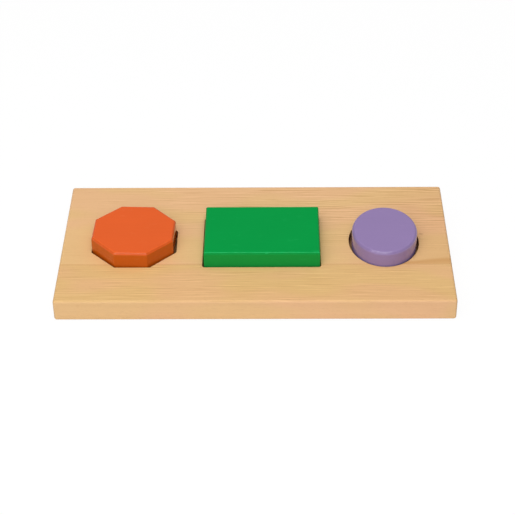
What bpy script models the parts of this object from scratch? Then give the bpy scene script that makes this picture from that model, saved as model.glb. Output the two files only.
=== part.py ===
"""Shape board: a glued wooden board with an octagon, a rectangle and an oval lying in shallow recesses.

Metres. +X runs along the board, +Y to its back edge and +Z up. The origin is the middle of the underside.
"""

import math

import bmesh
import bpy
from mathutils import Vector

# Board
BOARD_LENGTH = 0.300
BOARD_DEPTH = 0.150
BOARD_THICKNESS = 0.018
BOARD_ROUNDING = 0.002

# Staves: the board is glued up from a narrow front stave and a wide rear one
FRONT_STAVE_WIDTH = 0.0445
GLUE_THICKNESS = 0.0001

# Blocks, cut from stock as thick as the board
BLOCK_HEIGHT = 0.018
OCTAGON_ACROSS = 0.0632
RECTANGLE_LENGTH = 0.0886
RECTANGLE_DEPTH = 0.0617
OVAL_WIDTH = 0.0504
OVAL_DEPTH = 0.0615

# The level edges of the blocks are well rounded, and their upright corners only just broken
OCTAGON_ROUNDING = 0.0022
RECTANGLE_ROUNDING = 0.0018
OVAL_ROUNDING = 0.0025
CORNER_RADIUS = 0.0008

# Recesses: each the outline of its block with a clearance of its own all round, their front edges in one line
RECESS_DEPTH = 0.006
OCTAGON_CLEARANCE = 0.001
RECTANGLE_CLEARANCE = 0.0008
OVAL_CLEARANCE = 0.0018
SEAT_CLEARANCE = 0.0003
RECESS_CORNER_RADIUS = 0.002
LEFT_MARGIN = 0.02365
FRONT_MARGIN = 0.0416
LEFT_BRIDGE = 0.0209
RIGHT_BRIDGE = 0.0226

# How each block happens to lie in its recess: shift right, shift back and turn, as shares of its clearance
OCTAGON_LIES = (-0.45, -0.10, -1.15)
RECTANGLE_LIES = (0.40, 0.57, 0.0)
OVAL_LIES = (0.10, -0.68, -0.87)

# Facets
ROUNDING_STEPS = 3
OVAL_STEPS = 64
SHARP_ANGLE = math.radians(30)

# Worked out from the sizes above
GLUE_LINE_Y = FRONT_STAVE_WIDTH - BOARD_DEPTH / 2
RECESS_FLOOR_Z = BOARD_THICKNESS - RECESS_DEPTH
BLOCK_BOTTOM_Z = RECESS_FLOOR_Z + SEAT_CLEARANCE
RECESS_FRONT_Y = FRONT_MARGIN - BOARD_DEPTH / 2
OCTAGON_RADIUS = OCTAGON_ACROSS / 2 + OCTAGON_CLEARANCE
OCTAGON_X = LEFT_MARGIN - BOARD_LENGTH / 2 + OCTAGON_RADIUS
OCTAGON_Y = RECESS_FRONT_Y + OCTAGON_RADIUS
RECTANGLE_LEFT_X = OCTAGON_X + OCTAGON_RADIUS + LEFT_BRIDGE
RECTANGLE_X = RECTANGLE_LEFT_X + RECTANGLE_CLEARANCE + RECTANGLE_LENGTH / 2
RECTANGLE_Y = RECESS_FRONT_Y + RECTANGLE_CLEARANCE + RECTANGLE_DEPTH / 2
OVAL_LEFT_X = RECTANGLE_X + RECTANGLE_LENGTH / 2 + RECTANGLE_CLEARANCE + RIGHT_BRIDGE
OVAL_X = OVAL_LEFT_X + OVAL_CLEARANCE + OVAL_WIDTH / 2
OVAL_Y = RECESS_FRONT_Y + OVAL_CLEARANCE + OVAL_DEPTH / 2


def octagon_outline(grow=0.0):
    """A regular octagon with two sides across the board, grown by a clearance on every side."""
    half_across = OCTAGON_ACROSS / 2 + grow
    corner_distance = half_across / math.cos(math.pi / 8)
    angles = [math.pi / 8 + step * math.pi / 4 for step in range(8)]
    return [(corner_distance * math.cos(a), corner_distance * math.sin(a)) for a in angles]


def rectangle_outline(grow=0.0):
    """A rectangle with its long sides along the board."""
    half_x = RECTANGLE_LENGTH / 2 + grow
    half_y = RECTANGLE_DEPTH / 2 + grow
    return [(half_x, half_y), (-half_x, half_y), (-half_x, -half_y), (half_x, -half_y)]


def oval_outline(grow=0.0):
    """An ellipse with its long axis across the board."""
    half_x = OVAL_WIDTH / 2 + grow
    half_y = OVAL_DEPTH / 2 + grow
    angles = [2 * math.pi * step / OVAL_STEPS for step in range(OVAL_STEPS)]
    return [(half_x * math.cos(a), half_y * math.sin(a)) for a in angles]


def board_outline():
    """The board's plan."""
    half_x = BOARD_LENGTH / 2
    half_y = BOARD_DEPTH / 2
    return [(half_x, half_y), (-half_x, half_y), (-half_x, -half_y), (half_x, -half_y)]


def prism(outline, bottom_z, top_z):
    """An upright prism over an outline that runs anticlockwise."""
    bm = bmesh.new()
    base = bm.faces.new([bm.verts.new((x, y, bottom_z)) for x, y in outline])
    base.normal_flip()
    extruded = bmesh.ops.extrude_face_region(bm, geom=[base], use_keep_orig=True)
    raised = [item for item in extruded["geom"] if isinstance(item, bmesh.types.BMVert)]
    bmesh.ops.translate(bm, verts=raised, vec=(0, 0, top_z - bottom_z))
    bmesh.ops.recalc_face_normals(bm, faces=bm.faces)
    return bm


def sharp_edges(bm):
    """Every sharp edge: the upright ones, and the level ones."""
    sharp = [edge for edge in bm.edges if edge.calc_face_angle() > SHARP_ANGLE]
    upright = [edge for edge in sharp if edge.verts[0].co.z != edge.verts[1].co.z]
    return upright, [edge for edge in sharp if edge not in upright]


def tangent_length(edge, radius):
    """How far from a sharp edge a rounding of this radius starts."""
    return radius * math.tan(edge.calc_face_angle() / 2)


def round_edges(bm, edges, radius):
    """Round edges that all have the same angle."""
    if edges:
        bmesh.ops.bevel(bm, geom=edges, offset=tangent_length(edges[0], radius), offset_type="OFFSET",
                        segments=ROUNDING_STEPS, profile=0.5, affect="EDGES", clamp_overlap=True)


def weigh_edges(bm, level_radius, upright_radius):
    """Bevel weights for a block: 1 on its level edges, and on its upright ones the share that they need."""
    weights = bm.edges.layers.float.new("bevel_weight_edge")
    upright, level = sharp_edges(bm)
    for edge in level:
        edge[weights] = 1.0
    for edge in upright:
        edge[weights] = tangent_length(edge, upright_radius) / level_radius


def keep_side(bm, cut_y, keep_front):
    """Cut straight down along the board at cut_y, keep one side and close the cut."""
    everything = bm.verts[:] + bm.edges[:] + bm.faces[:]
    bmesh.ops.bisect_plane(bm, geom=everything, plane_co=(0, cut_y, 0), plane_no=(0, 1, 0),
                           clear_outer=keep_front, clear_inner=not keep_front)
    rim = [edge for edge in bm.edges if edge.is_boundary]
    bmesh.ops.contextual_create(bm, geom=rim)
    bmesh.ops.recalc_face_normals(bm, faces=bm.faces)


def paint(name, colour, roughness):
    """A plain material: sRGB colour from 0 to 255, turned into Blender's linear values."""
    material = bpy.data.materials.new(name)
    material.use_nodes = True
    shader = material.node_tree.nodes["Principled BSDF"]
    linear = [((c / 255 + 0.055) / 1.055) ** 2.4 for c in colour]
    shader.inputs["Base Color"].default_value = (*linear, 1.0)
    shader.inputs["Roughness"].default_value = roughness
    shader.inputs["Metallic"].default_value = 0.0
    return material


def add_object(name, bm, material, location=(0, 0, 0), turn=0.0):
    """Make a named object from a bmesh."""
    mesh = bpy.data.meshes.new(name)
    bm.to_mesh(mesh)
    bm.free()
    mesh.shade_smooth()
    mesh.set_sharp_from_angle(angle=SHARP_ANGLE)
    mesh.materials.append(material)
    obj = bpy.data.objects.new(name, mesh)
    obj.location = location
    obj.rotation_euler = (0, 0, turn)
    bpy.context.collection.objects.link(obj)
    return obj


def recess_cutter(name, outline, clearance, x, y):
    """A cutter that leaves a flat-bottomed recess, open at the top, where its block lies."""
    bm = prism(outline(grow=clearance), RECESS_FLOOR_Z, BOARD_THICKNESS + RECESS_DEPTH)
    upright, level = sharp_edges(bm)
    round_edges(bm, upright, RECESS_CORNER_RADIUS)
    cutter = add_object(name, bm, paint(name, (120, 120, 120), 0.5), location=(x, y, 0))
    cutter.hide_render = True
    cutter.display_type = "WIRE"
    return cutter


def stave(name, keep_front, material, cutters):
    """One stave of the board: the rounded board cut along the glue line, with the recesses cut out of it."""
    bm = prism(board_outline(), 0, BOARD_THICKNESS)
    round_edges(bm, bm.edges[:], BOARD_ROUNDING)
    half_glue = GLUE_THICKNESS / 2
    keep_side(bm, GLUE_LINE_Y - half_glue if keep_front else GLUE_LINE_Y + half_glue, keep_front)
    obj = add_object(name, bm, material)
    for cutter in cutters:
        cut = obj.modifiers.new("cut " + cutter.name, "BOOLEAN")
        cut.operation = "DIFFERENCE"
        cut.solver = "EXACT"
        cut.object = cutter
    return obj


def block(name, outline, rounding, material, recess_middle, clearance, lies):
    """A painted block lying loose in its recess, a little off the middle and a little turned."""
    bm = prism(outline(), 0, BLOCK_HEIGHT)
    weigh_edges(bm, rounding, CORNER_RADIUS)
    half_depth = max(y for x, y in outline())
    right, back, turn = [share * clearance for share in lies]
    lies_at = Vector((*recess_middle, BLOCK_BOTTOM_Z)) + Vector((right, back, 0))
    obj = add_object(name, bm, material, location=lies_at, turn=turn / half_depth)
    rounded = obj.modifiers.new("rounded edges", "BEVEL")
    rounded.limit_method = "WEIGHT"
    rounded.offset_type = "OFFSET"
    rounded.width = rounding
    rounded.segments = ROUNDING_STEPS
    rounded.use_clamp_overlap = True
    return obj


def build_board():
    """The two staves, glued edge to edge and then cut with the three recesses."""
    cutters = [
        recess_cutter("octagon_recess", octagon_outline, OCTAGON_CLEARANCE, OCTAGON_X, OCTAGON_Y),
        recess_cutter("rectangle_recess", rectangle_outline, RECTANGLE_CLEARANCE, RECTANGLE_X, RECTANGLE_Y),
        recess_cutter("oval_recess", oval_outline, OVAL_CLEARANCE, OVAL_X, OVAL_Y),
    ]
    stave("front_stave", True, paint("front beech", (227, 181, 130), 0.45), cutters)
    stave("rear_stave", False, paint("rear beech", (225, 180, 128), 0.45), cutters)


def build_blocks():
    """The three loose blocks."""
    block("octagon_block", octagon_outline, OCTAGON_ROUNDING, paint("orange paint", (229, 100, 50), 0.35),
          (OCTAGON_X, OCTAGON_Y), OCTAGON_CLEARANCE, OCTAGON_LIES)
    block("rectangle_block", rectangle_outline, RECTANGLE_ROUNDING, paint("green paint", (15, 151, 70), 0.35),
          (RECTANGLE_X, RECTANGLE_Y), RECTANGLE_CLEARANCE, RECTANGLE_LIES)
    block("oval_block", oval_outline, OVAL_ROUNDING, paint("purple paint", (151, 127, 174), 0.35),
          (OVAL_X, OVAL_Y), OVAL_CLEARANCE, OVAL_LIES)


for old in list(bpy.data.objects):
    bpy.data.objects.remove(old, do_unlink=True)
build_board()
build_blocks()
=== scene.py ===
"""Shape board: a glued beech board with a painted octagon, rectangle and oval lying in routed recesses.

Metres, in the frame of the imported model: +X along the board, +Y to its back edge, +Z up.
"""

import math
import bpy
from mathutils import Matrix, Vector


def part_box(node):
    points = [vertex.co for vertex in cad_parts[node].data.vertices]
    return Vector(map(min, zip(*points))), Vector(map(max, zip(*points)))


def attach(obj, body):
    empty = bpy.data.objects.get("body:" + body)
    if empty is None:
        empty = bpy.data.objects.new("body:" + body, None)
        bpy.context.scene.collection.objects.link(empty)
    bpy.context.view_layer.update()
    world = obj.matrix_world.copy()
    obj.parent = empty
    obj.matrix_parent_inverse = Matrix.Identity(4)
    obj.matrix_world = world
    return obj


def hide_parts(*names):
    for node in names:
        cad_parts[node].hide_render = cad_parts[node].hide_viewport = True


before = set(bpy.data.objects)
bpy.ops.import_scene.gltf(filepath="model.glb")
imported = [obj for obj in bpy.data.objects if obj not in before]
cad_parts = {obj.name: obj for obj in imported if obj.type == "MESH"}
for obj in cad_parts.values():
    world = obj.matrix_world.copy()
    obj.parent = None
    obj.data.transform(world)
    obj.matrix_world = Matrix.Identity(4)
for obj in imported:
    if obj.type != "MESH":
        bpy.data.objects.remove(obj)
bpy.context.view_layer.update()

from types import SimpleNamespace

import bmesh
import bpy
from mathutils import Matrix, Vector


# Front stave: a strip of pale beech 44.5 mm wide, glued along its back edge. It was planed, rounded and
# routed together with the rear stave, so both are cut here from one board blank.
FRONT_LOW, FRONT_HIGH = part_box("front_stave")
REAR_LOW, REAR_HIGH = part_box("rear_stave")
BOARD_ROUNDING = 0.002
ROUNDING_STEPS = 8
PAST_THE_BOARD = 0.01
SMOOTH_BELOW = math.radians(35)

# Each recess is its block and a clearance on every side, and the fronts of all three lie in one line
OCTAGON_SIZE = [0.0632]
OCTAGON_CLEARANCE = 0.0010
OCTAGON_X = -0.09375
RECTANGLE_SIZE = [0.0886, 0.0617]
RECTANGLE_CLEARANCE = 0.0008
RECTANGLE_X = 0.00485
OVAL_SIZE = [0.0504, 0.0615]
OVAL_CLEARANCE = 0.0018
OVAL_X = 0.09955
OVAL_POINTS = 128
RECESS_FRONT_Y = -0.0334
RECESS_FLOOR_Z = 0.012
RECESS_CORNER = 0.002
CORNER_STEPS = 4
RIM_EASING = 0.0003
MIDDLE_OF_EASING = 0.29
NEAR_WALL = 0.0035


def octagon_ring(bm, place, across):
    """A level ring of eight sides, two of them along the board."""
    radius = across / 2 / math.cos(math.pi / 8)
    turned = place @ Matrix.Rotation(math.pi / 8, 4, "Z")
    return bmesh.ops.create_circle(bm, segments=8, radius=radius, matrix=turned)["verts"]


def rectangle_ring(bm, place, length, depth):
    """A level ring of four sides."""
    sized = Matrix.Diagonal((length, depth, 1, 1)) @ Matrix.Rotation(math.pi / 4, 4, "Z")
    return bmesh.ops.create_circle(bm, segments=4, radius=math.sqrt(0.5), matrix=place @ sized)["verts"]


def oval_ring(bm, place, width, depth):
    """A level ring in the shape of an ellipse."""
    sized = Matrix.Diagonal((width / 2, depth / 2, 1, 1))
    return bmesh.ops.create_circle(bm, segments=OVAL_POINTS, radius=1, matrix=place @ sized)["verts"]


def round_corners(bm, ring, radius):
    """The edges of a ring, after its corners are rounded to the radius."""
    others = set(bm.edges) - {edge for vert in ring for edge in vert.link_edges}
    if radius:
        first = ring[0]
        sides = [(edge.other_vert(first).co - first.co).normalized() for edge in first.link_edges]
        half_corner = sides[0].angle(sides[1]) / 2
        bmesh.ops.bevel(bm, geom=ring, offset=radius / math.tan(half_corner), offset_type="OFFSET",
                        segments=CORNER_STEPS, profile=0.5, affect="VERTICES", material=-1,
                        clamp_overlap=True)
    return [edge for edge in bm.edges if edge not in others]


def stack_rings(bm, make_ring, middle, sizes, corner, levels, turn=0.0):
    """Rings stacked one on another and skinned. A level says how far the outline grows, and its height."""
    rings = []
    for grow, height in levels:
        place = Matrix.Translation((*middle, height)) @ Matrix.Rotation(turn, 4, "Z")
        grown = [size + 2 * grow for size in sizes]
        rings.append(round_corners(bm, make_ring(bm, place, *grown), corner))
    skin = []
    for lower, upper in zip(rings, rings[1:]):
        skin += bmesh.ops.bridge_loops(bm, edges=lower + upper)["faces"]
    return rings, skin


def rout_recess(bm, make_ring, block_sizes, clearance, middle_x, corner=RECESS_CORNER):
    """A recess for a block, from the board's top down to its floor; returns the rim's edges on the top."""
    sizes = [size + 2 * clearance for size in block_sizes]
    middle = (middle_x, RECESS_FRONT_Y + sizes[-1] / 2)

    # The rim is eased by a quarter round in two steps, and the wall goes straight down from it
    top = REAR_HIGH.z
    half_way = RIM_EASING * MIDDLE_OF_EASING
    levels = [(RIM_EASING, top), (half_way, top - half_way), (0.0, top - RIM_EASING), (0.0, RECESS_FLOOR_Z)]
    rings, routed = stack_rings(bm, make_ring, middle, sizes, corner, levels)
    near_wall = bm.verts.layers.float.get("near_wall") or bm.verts.layers.float.new("near_wall")
    for vert in {vert for face in routed for vert in face.verts}:
        vert[near_wall] = 1.0

    # The floor is a strip along the wall, over which the burn and painted shade fade, and one face inside it
    strip = bmesh.ops.extrude_edge_only(bm, edges=rings[-1])["geom"]
    inner = [item for item in strip if isinstance(item, bmesh.types.BMVert)]
    shrink = [1 - 2 * NEAR_WALL / size for size in (sizes[0], sizes[-1])]
    to_middle = Matrix.Translation((-middle[0], -middle[1], 0))
    bmesh.ops.scale(bm, vec=(*shrink, 1), space=to_middle, verts=inner)
    for vert in inner:
        vert[near_wall] = 0.0
    inner_rim = [item for item in strip if isinstance(item, bmesh.types.BMEdge) and item.is_boundary]
    routed += bmesh.ops.edgeloop_fill(bm, edges=inner_rim)["faces"]
    routed += [item for item in strip if isinstance(item, bmesh.types.BMFace)]
    for face in routed:
        face.material_index = 1
    return rings[0]


def board_blank():
    """The whole board: rounded outside, with three recesses in its top."""
    bm = bmesh.new()
    size = REAR_HIGH - FRONT_LOW
    placed = Matrix.Translation((FRONT_LOW + REAR_HIGH) / 2) @ Matrix.Diagonal((*size, 1))
    bmesh.ops.create_cube(bm, size=1, matrix=placed)
    bmesh.ops.bevel(bm, geom=bm.edges[:], offset=BOARD_ROUNDING, offset_type="OFFSET",
                    segments=ROUNDING_STEPS, profile=0.5, affect="EDGES", material=-1, clamp_overlap=True)
    top = max(bm.faces, key=lambda face: face.calc_center_median().z + face.calc_area())
    top_edges = top.edges[:]
    bmesh.ops.delete(bm, geom=[top], context="FACES_ONLY")
    top_edges += rout_recess(bm, octagon_ring, OCTAGON_SIZE, OCTAGON_CLEARANCE, OCTAGON_X)
    top_edges += rout_recess(bm, rectangle_ring, RECTANGLE_SIZE, RECTANGLE_CLEARANCE, RECTANGLE_X)
    top_edges += rout_recess(bm, oval_ring, OVAL_SIZE, OVAL_CLEARANCE, OVAL_X, corner=0.0)
    bmesh.ops.triangle_fill(bm, edges=top_edges, use_beauty=True)
    bmesh.ops.recalc_face_normals(bm, faces=bm.faces)
    return bm


def board_strip(low_y, high_y):
    """What of the board lies between two upright cuts along it, with the cuts closed."""
    bm = board_blank()
    for cut_y, outward in ((low_y, -1), (high_y, 1)):
        everything = bm.verts[:] + bm.edges[:] + bm.faces[:]
        bmesh.ops.bisect_plane(bm, geom=everything, plane_co=(0, cut_y, 0), plane_no=(0, outward, 0),
                               clear_outer=True)
        rim = [edge for edge in bm.edges if edge.is_boundary]
        if rim:
            bmesh.ops.edgeloop_fill(bm, edges=rim)
    bmesh.ops.recalc_face_normals(bm, faces=bm.faces)
    return bm


def finish_piece(name, bm, materials, body, node=None):
    """Make the object, smooth its roundings, and let it ride in the place of its CAD node."""
    mesh = bpy.data.meshes.new(name)
    bm.to_mesh(mesh)
    bm.free()
    mesh.shade_smooth()
    mesh.set_sharp_from_angle(angle=SMOOTH_BELOW)
    for material in materials:
        mesh.materials.append(material)
    piece = bpy.data.objects.new(name, mesh)
    bpy.context.scene.collection.objects.link(piece)
    flats = piece.modifiers.new("flats stay flat", "WEIGHTED_NORMAL")
    flats.keep_sharp = True
    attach(piece, body)
    if node:
        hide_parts(node)


def linear(red, green, blue):
    """An sRGB colour from 0 to 255 as Blender's linear values."""
    return (*[((value / 255 + 0.055) / 1.055) ** 2.4 for value in (red, green, blue)], 1.0)


def new_material(name):
    """A material, its node tree and its shader."""
    material = bpy.data.materials.new(name)
    material.use_nodes = True
    return material, material.node_tree, material.node_tree.nodes["Principled BSDF"]


def add_node(tree, kind, inputs, **settings):
    """A node with its inputs set, or linked where the value is another node's output."""
    node = tree.nodes.new(kind)
    for setting, value in settings.items():
        setattr(node, setting, value)
    for key, value in inputs.items():
        if isinstance(value, bpy.types.NodeSocket):
            tree.links.new(value, node.inputs[key])
        else:
            node.inputs[key].default_value = value
    return node


def calculate(tree, operation, *values):
    """The result of a Math node."""
    return add_node(tree, "ShaderNodeMath", dict(enumerate(values)), operation=operation).outputs[0]


def share_of(tree, value, weight):
    """A value times a weight."""
    return calculate(tree, "MULTIPLY", value, weight)


def sum_of(tree, start, *parts):
    """start plus each part's distance from its middle of 0.5, times its weight."""
    total = start
    for value, weight in parts:
        total = calculate(tree, "MULTIPLY_ADD", calculate(tree, "SUBTRACT", value, 0.5), weight, total)
    return total


def between(tree, value, low, high, to_low=0.0, to_high=1.0):
    """A soft step from to_low to to_high as value goes from low to high."""
    node = add_node(tree, "ShaderNodeMapRange", {0: value, 1: low, 2: high, 3: to_low, 4: to_high},
                    interpolation_type="SMOOTHSTEP")
    return node.outputs[0]


def mix_value(tree, share, first, second):
    """Two values mixed by share."""
    return add_node(tree, "ShaderNodeMix", {0: share, 2: first, 3: second}, data_type="FLOAT").outputs[0]


def mix_colour(tree, share, first, second, kind="MIX"):
    """Two colours mixed by share."""
    node = add_node(tree, "ShaderNodeMix", {0: share, 6: first, 7: second}, data_type="RGBA", blend_type=kind)
    return node.outputs[2]


def tinted(tree, colour, tint):
    """A colour times a tint."""
    return mix_colour(tree, 1.0, colour, tint, kind="MULTIPLY")


def distance_from(tree, place, centre, scale):
    """How far a place lies from a centre, after each axis is scaled."""
    to_centre = [-factor * value for factor, value in zip(scale, centre)]
    moved = add_node(tree, "ShaderNodeMapping", {"Vector": place, "Scale": scale, "Location": to_centre})
    return add_node(tree, "ShaderNodeVectorMath", {0: moved.outputs[0]}, operation="LENGTH").outputs["Value"]


def fibres(tree, place, length, width, depth=None, detail=1.0, roughness=0.5, shift=0.0):
    """Noise drawn out along the board: the size of one streak along it, across it and down into the wood."""
    stretch = (1 / length, 1 / width, 1 / (depth or width))
    mapped = add_node(tree, "ShaderNodeMapping",
                      {"Vector": place, "Scale": stretch, "Location": (shift,) * 3})
    noise = add_node(tree, "ShaderNodeTexNoise",
                     {"Vector": mapped.outputs[0], "Scale": 1.0, "Detail": detail, "Roughness": roughness})
    return noise.outputs[0]


def finish_shader(tree, shader, colour, rough, relief, strength, depth):
    """Give the shader its colour, its roughness and a fine relief."""
    bump = add_node(tree, "ShaderNodeBump", {"Height": relief, "Strength": strength, "Distance": depth})
    tree.links.new(colour, shader.inputs["Base Color"])
    tree.links.new(rough, shader.inputs["Roughness"])
    tree.links.new(bump.outputs[0], shader.inputs["Normal"])


GROUND_TONE = 0.60
LINE_CONTRAST = 0.70
FLECK_BROWN = linear(190, 140, 92)
END_GRAIN_DARK = linear(178, 130, 84)
END_GRAIN_PALE = linear(217, 171, 120)
# Brown of the recess walls and floor: partly burn from the cutter, partly painted shade of the deep recess
BURN_AND_SHADE_BROWN = linear(98, 48, 20)
YELLOWER = (0.985, 1.016, 0.955, 1)
PINKER = (1.010, 0.986, 1.040, 1)
# Front and back faces: a paler edge-sawn tone with painted light bounced up from the white table
LONG_EDGE_TONE_AND_BOUNCE = (1.03, 1.03, 1.16, 1)
SANDED_ROUGHNESS = 0.55
SANDED_GLOSS = 0.30
ROUTED_ROUGHNESS = 0.66
ROUTED_GLOSS = 0.10


def grain_of(tree, place, pith, streak_length, shift):
    """What the figure is made of: rings that wander along the board, broad bands, streaks, hairs, flecks."""
    pith_y, pith_z, ring_width = pith
    from_pith = distance_from(tree, place, (0, pith_y, pith_z), (0, 1, 1))
    wander = fibres(tree, place, length=0.055, width=0.0060, shift=shift + 3)
    turns = sum_of(tree, share_of(tree, from_pith, 2 * math.pi / ring_width), (wander, 14.0))
    ring = calculate(tree, "SINE", turns)
    broad = fibres(tree, place, length=0.110, width=0.0120, depth=0.012, shift=shift)
    streak = fibres(tree, place, length=streak_length, width=0.00080, depth=0.009, detail=0.0,
                    shift=shift + 7)
    hair = fibres(tree, place, length=0.011, width=0.00032, depth=0.0012, shift=shift + 11)
    specks = fibres(tree, place, length=0.0032, width=0.00026, detail=0.0, shift=shift + 17)
    return SimpleNamespace(ring=ring, late_wood=between(tree, ring, -0.3, 0.9), broad=broad, streak=streak,
                           hair=hair, fleck=between(tree, specks, 0.68, 0.78))


def top_tone(tree, place, grain, streaks, shift):
    """Tone of the top: a nearly even ground, and clusters of thin light and dark lines along the rings."""
    length, strongest, weakest, centre = streaks
    away = distance_from(tree, place, (*centre, 0), (1, 3, 0))
    strength = between(tree, away, 0.020, 0.300, strongest, weakest)
    cluster = fibres(tree, place, length=length, width=0.0050, depth=0.020, shift=shift + 29)
    strength = share_of(tree, strength, between(tree, cluster, 0.40, 0.60, 0.12, 1.0))
    lines = sum_of(tree, share_of(tree, grain.ring, 0.60), (grain.streak, 2.2))
    light_line = share_of(tree, between(tree, lines, 0.15, 0.95), strength)
    dark_line = share_of(tree, between(tree, lines, -0.15, -0.95), strength)
    tone = sum_of(tree, GROUND_TONE, (grain.broad, 0.22), (grain.hair, 0.16))
    tone = calculate(tree, "MULTIPLY_ADD", light_line, LINE_CONTRAST, tone)
    return calculate(tree, "MULTIPLY_ADD", dark_line, -LINE_CONTRAST, tone)


def long_edge_tone(tree, place, grain, shift):
    """Tone of the front and back: long quiet bands only."""
    band = fibres(tree, place, length=0.160, width=0.020, depth=0.0042, shift=shift + 19)
    return sum_of(tree, GROUND_TONE, (band, 0.34), (grain.late_wood, -0.03), (grain.hair, 0.07))


def end_grain(tree, place, grain, shift):
    """Colour of the ends, which drink more finish and are darker: rings of late wood and open pores."""
    pores = fibres(tree, place, length=0.0009, width=0.0009, shift=shift + 37)
    tone = sum_of(tree, 0.62, (grain.late_wood, -0.60), (pores, 1.2), (grain.broad, 0.6))
    return mix_colour(tree, tone, END_GRAIN_DARK, END_GRAIN_PALE)


def cutter_marks_and_recess_shade(tree, place, grain, colour, relief):
    """Colour and relief with close curved cutter passes, and browning near the walls: burn and painted shade.
    """
    passes = {"Vector": place, "Scale": 62.0, "Distortion": 1.2, "Detail": 1.0, "Detail Scale": 6.0}
    pass_wave = add_node(tree, "ShaderNodeTexWave", passes, wave_type="BANDS",
                         bands_direction="DIAGONAL").outputs["Fac"]
    near_wall = add_node(tree, "ShaderNodeAttribute", {}, attribute_name="near_wall").outputs["Fac"]
    # Painted shade of the recess mixed with cutter burn: strongest on the walls, weak in the middle of the
    # floor
    burn_and_shade = sum_of(tree, 0.74, (grain.broad, 0.4), (pass_wave, 0.04))
    burn_and_shade = share_of(tree, burn_and_shade, between(tree, near_wall, 0.0, 0.8, 0.15, 1.0))
    return mix_colour(tree, burn_and_shade, colour, BURN_AND_SHADE_BROWN), sum_of(tree, relief, (pass_wave, 0.20))


def beech(name, pale, dark, pith, streaks, shift, own_marks=None, routed=False):
    """Beech with a sanded surface, or with a routed one for the recesses.

    pith is where the heart of the tree lay, as Y and Z, and how wide one ring is. streaks are the length of
    one streak, how strong they are at their strongest and far from it, and where they are strongest.
    """
    material, tree, shader = new_material(name)
    coordinates = tree.nodes.new("ShaderNodeTexCoord")
    place = coordinates.outputs["Object"]
    facing = add_node(tree, "ShaderNodeSeparateXYZ", {0: coordinates.outputs["Normal"]})
    on_end = between(tree, calculate(tree, "ABSOLUTE", facing.outputs["X"]), 0.55, 0.95)
    on_long_edge = between(tree, calculate(tree, "ABSOLUTE", facing.outputs["Y"]), 0.60, 0.95)

    grain = grain_of(tree, place, pith, streaks[0], shift)
    tone = mix_value(tree, on_long_edge, top_tone(tree, place, grain, streaks, shift),
                     long_edge_tone(tree, place, grain, shift))
    colour = mix_colour(tree, tone, linear(*dark), linear(*pale))
    colour = mix_colour(tree, share_of(tree, grain.fleck, 0.20), colour, FLECK_BROWN)

    # Yellower and pinker patches along the board; the front and back faces are paler and bluer,
    # partly from the saw cutting the other way and partly painted light bounced up from the white table
    patch = fibres(tree, place, length=0.055, width=0.020, depth=0.030, detail=0.0, shift=shift + 23)
    warmth = between(tree, patch, 0.34, 0.66)
    colour = tinted(tree, colour, mix_colour(tree, warmth, YELLOWER, PINKER))
    colour = mix_colour(tree, on_long_edge, colour, tinted(tree, colour, LONG_EDGE_TONE_AND_BOUNCE))
    if own_marks:
        colour = own_marks(tree, place, grain, colour)
    colour = mix_colour(tree, on_end, colour, end_grain(tree, place, grain, shift))

    relief = sum_of(tree, 0.5, (grain.streak, 0.30), (grain.hair, 0.60), (grain.fleck, -0.5),
                    (grain.late_wood, 0.10))
    if routed:
        colour, relief = cutter_marks_and_recess_shade(tree, place, grain, colour, relief)
    rough = sum_of(tree, ROUTED_ROUGHNESS if routed else SANDED_ROUGHNESS,
                   (grain.streak, -0.20), (grain.hair, -0.15), (on_end, 0.10))
    finish_shader(tree, shader, colour, rough, relief, strength=0.30, depth=0.00020)
    shader.inputs["Specular IOR Level"].default_value = ROUTED_GLOSS if routed else SANDED_GLOSS
    return material


def stave_woods(name, **wood):
    """The wood of one stave, as it was sanded outside and as it was routed in the recesses."""
    return [beech(name, **wood), beech(f"{name}, routed", routed=True, **wood)]


front_woods = stave_woods("front beech", pale=(240, 195, 137), dark=(212, 165, 108), shift=1.0,
                          pith=(-0.150, -0.060, 0.0019), streaks=(0.030, 0.68, 0.45, (-0.050, -0.045)))
front_strip = board_strip(FRONT_LOW.y - PAST_THE_BOARD, FRONT_HIGH.y)
finish_piece("front_stave_beech", front_strip, front_woods, "board", "front_stave")


# Rear stave: the wide piece of the board, 105.5 mm, from another plank of the same beech and redder at its
# right end. A brown streak of heartwood runs out at its front right corner and stops dead at the glue line.
REDDER = (0.955, 0.915, 0.905, 1)
HEARTWOOD = linear(218, 168, 108)
HEARTWOOD_CORE = linear(212, 160, 100)
PIN_KNOT = (0.1292, 0.0085)
PIN_KNOT_BROWN = linear(150, 100, 62)


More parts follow.
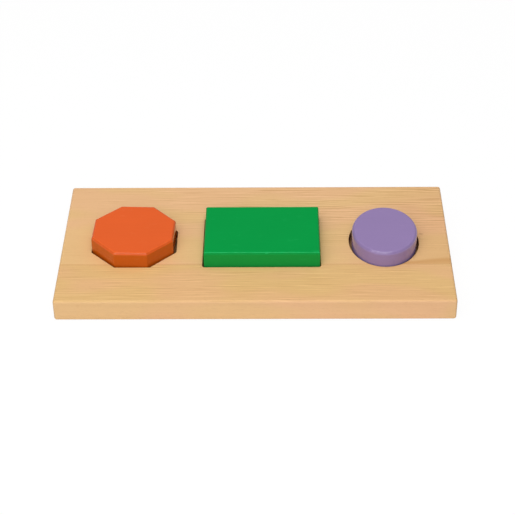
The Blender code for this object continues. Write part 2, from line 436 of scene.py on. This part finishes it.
def rear_marks(tree, place, grain, colour):
    """The redder right end, heartwood along the glue line that widens to a wedge there, and one pin knot."""
    axes = add_node(tree, "ShaderNodeSeparateXYZ", {0: place})
    along = axes.outputs["X"]
    colour = mix_colour(tree, between(tree, along, 0.070, 0.150), colour, tinted(tree, colour, REDDER))

    behind_glue = calculate(tree, "SUBTRACT", axes.outputs["Y"], REAR_LOW.y)
    wedge = between(tree, along, 0.095, 0.160, 0.0014, 0.0100)
    width = sum_of(tree, wedge, (grain.broad, 0.004), (grain.streak, 0.002))
    reach = calculate(tree, "DIVIDE", behind_glue, width)
    inside = between(tree, reach, 0.50, 1.30, 1.0, 0.0)
    core = share_of(tree, between(tree, reach, 0.05, 0.55), between(tree, reach, 0.55, 1.15, 1.0, 0.0))
    strength = between(tree, along, 0.010, 0.140, 0.35, 0.76)
    colour = mix_colour(tree, share_of(tree, inside, strength), colour, HEARTWOOD)
    colour = mix_colour(tree, share_of(tree, core, strength), colour, HEARTWOOD_CORE)

    from_knot = distance_from(tree, place, (*PIN_KNOT, 0), (0.45, 1, 0))
    return mix_colour(tree, between(tree, from_knot, 0.0004, 0.0011, 0.42, 0.0), colour, PIN_KNOT_BROWN)


rear_woods = stave_woods("rear beech", pale=(245, 200, 147), dark=(218, 171, 116), shift=5.0,
                         pith=(0.230, 0.090, 0.0023), streaks=(0.042, 2.10, 0.12, (0.120, 0.070)),
                         own_marks=rear_marks)
rear_strip = board_strip(REAR_LOW.y, REAR_HIGH.y + PAST_THE_BOARD)
finish_piece("rear_stave_beech", rear_strip, rear_woods, "board", "rear_stave")


# Glue film: the tenth of a millimetre of yellow wood glue between the staves, planed flush with them and cut
# through by the same recesses.
GLUE_DARK = linear(150, 100, 52)
GLUE_PALE = linear(182, 134, 80)


def dried_glue():
    """Amber wood glue, a little glassy."""
    material, tree, shader = new_material("dried wood glue")
    place = tree.nodes.new("ShaderNodeTexCoord").outputs["Object"]
    beads = fibres(tree, place, length=0.012, width=0.0020, detail=2.0, shift=31)
    colour = mix_colour(tree, between(tree, beads, 0.35, 0.65), GLUE_DARK, GLUE_PALE)
    rough = between(tree, beads, 0.3, 0.7, 0.30, 0.50)
    finish_shader(tree, shader, colour, rough, beads, strength=0.2, depth=0.0001)
    return material


glue_strip = board_strip(FRONT_HIGH.y, REAR_LOW.y)
finish_piece("glue_film", glue_strip, [dried_glue()], "board")


# Octagon block: 18 mm beech sawn to an octagon, one side a little deeper than the rest. Its level edges are
# sanded round and its upright corners only broken, and it was dipped in orange paint. It lies loose in its
# recess, turned two degrees.
OCTAGON_ROUNDING = 0.0022
OCTAGON_TURN = math.radians(-2.085)
DEEPER_CUT = 0.0008
CORNER_RADIUS = 0.0008
BLOCK_STEPS = 8

# How level the rounded edge is 8, 16, 30 and 40 degrees down from the top; a highlight is painted on this
# stretch of the front edge
UPPER_ARRIS = (0.990, 0.961, 0.866, 0.766)


def sawn_octagon_ring(bm, place, across):
    """The block's own outline: its left front side was sawn a little deeper than the other seven."""
    ring = octagon_ring(bm, place, across)
    middle = place.to_translation()
    inwards = place.to_3x3() @ Vector((1, 1, 0))
    deeper_side = sorted(ring, key=lambda vert: (vert.co - middle).dot(inwards))[:2]
    for corner in deeper_side:
        kept = [edge.other_vert(corner) for edge in corner.link_edges]
        kept = [vert for vert in kept if vert not in deeper_side][0]
        slide = (kept.co - corner.co).normalized() * DEEPER_CUT * math.sqrt(2)
        bmesh.ops.translate(bm, vec=slide, verts=[corner])
    return ring


def sanded_block(make_ring, sizes, rounding, corner, node, turn=0.0):
    """A block as high as its CAD node with rounded level edges, where the node lies."""
    low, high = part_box(node)
    middle = (low + high) / 2
    arc = [math.pi / 2 * step / BLOCK_STEPS for step in range(BLOCK_STEPS + 1)]
    lower = [(-rounding * (1 - math.sin(a)), low.z + rounding * (1 - math.cos(a))) for a in arc]
    upper = [(grow, high.z + low.z - height) for grow, height in reversed(lower)]
    bm = bmesh.new()
    rings = stack_rings(bm, make_ring, middle.xy, sizes, corner, lower + upper, turn)[0]
    for ring in (rings[0], rings[-1]):
        bmesh.ops.edgeloop_fill(bm, edges=ring)
    bmesh.ops.recalc_face_normals(bm, faces=bm.faces)
    return bm


def on_rounding(tree, level, starts, full, fades, ends):
    """1 on one stretch of a rounded edge, found by how level the edge is where it starts and ends."""
    return share_of(tree, between(tree, level, starts, full), between(tree, level, ends, fades))


def satin_paint(name, body, edge, side, worn_through_and_highlight, shift, edge_shade_angles, front_highlight, gloss):
    """Satin paint over sanded beech, with painted shade on the rounded edges and painted light and shade
    on the upright sides.

    The edge angles, in degrees, say how far down the rounded edge the painted shade starts, is full,
    begins to fade and ends. The front share says how strongly a highlight is painted along the upper
    front edge, in the worn-through colour that the chips and scuffs also show.
    """
    material, tree, shader = new_material(name)
    coordinates = tree.nodes.new("ShaderNodeTexCoord")
    place = coordinates.outputs["Object"]
    under_grain = fibres(tree, place, length=0.022, width=0.0010, depth=0.004, shift=shift)
    cloud = fibres(tree, place, length=0.034, width=0.024, shift=shift + 5)
    orange_peel = fibres(tree, place, length=0.0013, width=0.0013, shift=shift + 9)
    rubbing = fibres(tree, place, length=0.009, width=0.0045, detail=3.0, shift=shift + 13)
    scuff = between(tree, rubbing, 0.60, 0.76)
    chips = fibres(tree, place, length=0.0055, width=0.0035, detail=3.0, roughness=0.6, shift=shift + 17)

    # How level the surface is: 1 on the top and underside, 0 on the upright sides
    facing = add_node(tree, "ShaderNodeSeparateXYZ", {0: coordinates.outputs["Normal"]})
    level = calculate(tree, "ABSOLUTE", facing.outputs["Z"])
    # Where the painted edge shade lies; the chips keep to the same band
    edge_shade_and_chip_band = on_rounding(tree, level, *[math.cos(math.radians(angle)) for angle in edge_shade_angles])
    chipped = share_of(tree, between(tree, chips, 0.60, 0.72), edge_shade_and_chip_band)
    facing_front = between(tree, facing.outputs["Y"], -0.05, -0.20)
    # The band of the upper front edge where the highlight is painted, broken up by the chip noise
    front_highlight_band = share_of(tree, on_rounding(tree, level, *UPPER_ARRIS), facing_front)
    broken_front_highlight = share_of(tree, front_highlight_band, between(tree, chips, 0.30, 0.60, 0.55, 1.15))

    # The worn-through colour shows in chips and scuffs, and also as a painted highlight on the front edge
    bare_and_highlight = linear(*worn_through_and_highlight)
    # Painted light and shade on the upright sides: their own colour, darker or warmer than the top as light
    # falls on them and bounces up from the wood
    colour = mix_colour(tree, between(tree, level, 0.10, 0.62), linear(*side), linear(*body))
    # Painted shade on the rounded edges: a darker tone there
    colour = mix_colour(tree, edge_shade_and_chip_band, colour, linear(*edge))
    # Painted highlight along the upper front edge
    colour = mix_colour(tree, share_of(tree, broken_front_highlight, front_highlight), colour, bare_and_highlight)
    colour = mix_colour(tree, share_of(tree, chipped, 0.30), colour, bare_and_highlight)
    colour = mix_colour(tree, share_of(tree, scuff, 0.05), colour, bare_and_highlight)
    mottle = sum_of(tree, 1.0, (cloud, 0.07), (under_grain, 0.035), (orange_peel, 0.012))
    mottled = add_node(tree, "ShaderNodeVectorMath", {0: colour, "Scale": mottle}, operation="SCALE")

    relief = sum_of(tree, 0.5, (under_grain, 0.30), (orange_peel, 0.16), (chips, 0.10))
    rough = sum_of(tree, 0.22, (cloud, 0.10), (scuff, 0.20), (under_grain, 0.05), (chipped, 0.30))
    finish_shader(tree, shader, mottled.outputs[0], rough, relief, strength=0.20, depth=0.00015)
    shader.inputs["Specular IOR Level"].default_value = gloss
    return material


octagon = sanded_block(sawn_octagon_ring, OCTAGON_SIZE, OCTAGON_ROUNDING, CORNER_RADIUS, "octagon_block",
                       OCTAGON_TURN)
# The edge and side colours are painted shade and light; the worn-through colour also makes a painted
# highlight
orange = satin_paint("orange satin paint", body=(232, 96, 36), edge=(214, 88, 30), side=(200, 91, 18),
                     worn_through_and_highlight=(250, 160, 100), shift=41.0, edge_shade_angles=(16, 32, 50, 66),
                     front_highlight=0.03, gloss=0.22)
finish_piece("octagon_painted", octagon, [orange], "octagon", "octagon_block")


# Rectangle block: the same 18 mm beech, 88.6 by 61.7 mm, its edges rounded a little less than the octagon's,
# dipped in green paint.
RECTANGLE_ROUNDING = 0.0018
rectangle = sanded_block(rectangle_ring, RECTANGLE_SIZE, RECTANGLE_ROUNDING, CORNER_RADIUS, "rectangle_block")
# The edge and side colours are painted shade and light; the worn-through colour also makes a painted
# highlight
green = satin_paint("green satin paint", body=(0, 154, 68), edge=(0, 143, 60), side=(26, 155, 66),
                    worn_through_and_highlight=(62, 222, 134), shift=53.0, edge_shade_angles=(20, 38, 52, 70),
                    front_highlight=0.32, gloss=0.04)
finish_piece("rectangle_painted", rectangle, [green], "rectangle", "rectangle_block")


# Oval block: an ellipse 50.4 mm along the board and 61.5 mm across it, its edges sanded rounder than the
# other two, dipped in purple paint. It lies turned three degrees, against the front of its recess.
OVAL_ROUNDING = 0.0025
OVAL_TURN = math.radians(-2.92)
oval = sanded_block(oval_ring, OVAL_SIZE, OVAL_ROUNDING, 0.0, "oval_block", OVAL_TURN)
# The edge and side colours are painted shade and light; the worn-through colour also makes a painted
# highlight
purple = satin_paint("purple satin paint", body=(150, 127, 178), edge=(141, 119, 168), side=(149, 128, 179),
                     worn_through_and_highlight=(196, 176, 218), shift=67.0, edge_shade_angles=(10, 26, 52, 70),
                     front_highlight=0.05, gloss=0.50)
finish_piece("oval_painted", oval, [purple], "oval", "oval_block")


# Table: a wide sheet of white card, a hair below the board. What the camera and reflections see of it is
# lifted to white, and the board's shadow stays on it.
SHEET_REACH = 4.0
SHEET_Z = -0.0002
WHITE_LIFT = 0.92
WHITE_GLOW = 1.02


def white_card():
    """Matt white card with a hint of tooth."""
    material, tree, shader = new_material("white card")
    place = tree.nodes.new("ShaderNodeTexCoord").outputs["Object"]
    tooth = fibres(tree, place, length=0.004, width=0.004, detail=2.0, shift=71)
    colour = mix_colour(tree, tooth, (0.84, 0.84, 0.84, 1), (0.88, 0.88, 0.88, 1))
    tree.links.new(colour, shader.inputs["Base Color"])
    shader.inputs["Roughness"].default_value = 0.9
    shader.inputs["Specular IOR Level"].default_value = 0.0
    rays = tree.nodes.new("ShaderNodeLightPath").outputs
    seen = rays["Is Camera Ray"]
    for kind in ("Is Glossy Ray", "Is Transmission Ray"):
        seen = calculate(tree, "MAXIMUM", seen, rays[kind])
    glow = add_node(tree, "ShaderNodeEmission", {"Color": (1, 1, 1, 1), "Strength": WHITE_GLOW})
    mixed = add_node(tree, "ShaderNodeMixShader",
                     {0: share_of(tree, seen, WHITE_LIFT), 1: shader.outputs[0], 2: glow.outputs[0]})
    tree.links.new(mixed.outputs[0], tree.nodes["Material Output"].inputs["Surface"])
    return material


sheet = bmesh.new()
bmesh.ops.create_grid(sheet, x_segments=1, y_segments=1, size=SHEET_REACH,
                      matrix=Matrix.Translation((0, 0, SHEET_Z)))
sheet_mesh = bpy.data.meshes.new("table_sheet")
sheet.to_mesh(sheet_mesh)
sheet.free()
sheet_mesh.materials.append(white_card())
table_sheet = bpy.data.objects.new("table_sheet", sheet_mesh)
bpy.context.scene.collection.objects.link(table_sheet)


# Light: a large soft box in front, high and a little to the left, a weaker one overhead, and the pale room
# round them.
LIT_POINT = Vector((0, 0, 0.01))
ROOM_LIGHT = 0.36


def soft_box(name, place, size, power):
    """A square area lamp that points at the middle of the board."""
    lamp = bpy.data.lights.new(name, "AREA")
    lamp.shape = "SQUARE"
    lamp.size = size
    lamp.energy = power
    holder = bpy.data.objects.new(name, lamp)
    holder.location = place
    holder.rotation_euler = (LIT_POINT - Vector(place)).to_track_quat("-Z", "Y").to_euler()
    holder.visible_camera = False
    bpy.context.scene.collection.objects.link(holder)


soft_box("front_soft_box", place=(-0.31, -0.99, 1.23), size=1.9, power=18.6)
soft_box("overhead_soft_box", place=(0.0, -0.03, 1.60), size=1.0, power=6.5)
room = bpy.data.worlds.new("pale room")
room.use_nodes = True
room.node_tree.nodes["Background"].inputs["Color"].default_value = (1.0, 1.0, 1.0, 1.0)
room.node_tree.nodes["Background"].inputs["Strength"].default_value = ROOM_LIGHT
bpy.context.scene.world = room


# Camera: the photograph's place, found by fitting the edges of the board and of the blocks' tops. It has a
# long lens and looks down 37 degrees on the table.
CAMERA_AIM = Vector((0.00133, 0.00245, 0.0))
CAMERA_DISTANCE = 1.1925
CAMERA_SIDE = math.radians(0.792)
CAMERA_ELEVATION = math.radians(37.042)
CAMERA_ROLL = math.radians(-0.657)
SENSOR_WIDTH_MM = 36.0
FOCAL_LENGTH_MM = 105.96
lens = bpy.data.cameras.new("photo_camera")
lens.sensor_fit = "HORIZONTAL"
lens.sensor_width = SENSOR_WIDTH_MM
lens.lens = FOCAL_LENGTH_MM
lens.clip_start = 0.05
lens.clip_end = 20.0
photo_camera = bpy.data.objects.new("photo_camera", lens)
turned = Matrix.Rotation(CAMERA_SIDE, 4, "Z") @ Matrix.Rotation(math.pi / 2 - CAMERA_ELEVATION, 4, "X")
back = turned @ Vector((0, 0, 1))
photo_camera.matrix_world = (Matrix.Translation(CAMERA_AIM + back * CAMERA_DISTANCE) @ turned
                             @ Matrix.Rotation(CAMERA_ROLL, 4, "Z"))
bpy.context.scene.collection.objects.link(photo_camera)
bpy.context.scene.camera = photo_camera
bpy.context.scene.view_settings.view_transform = "Standard"
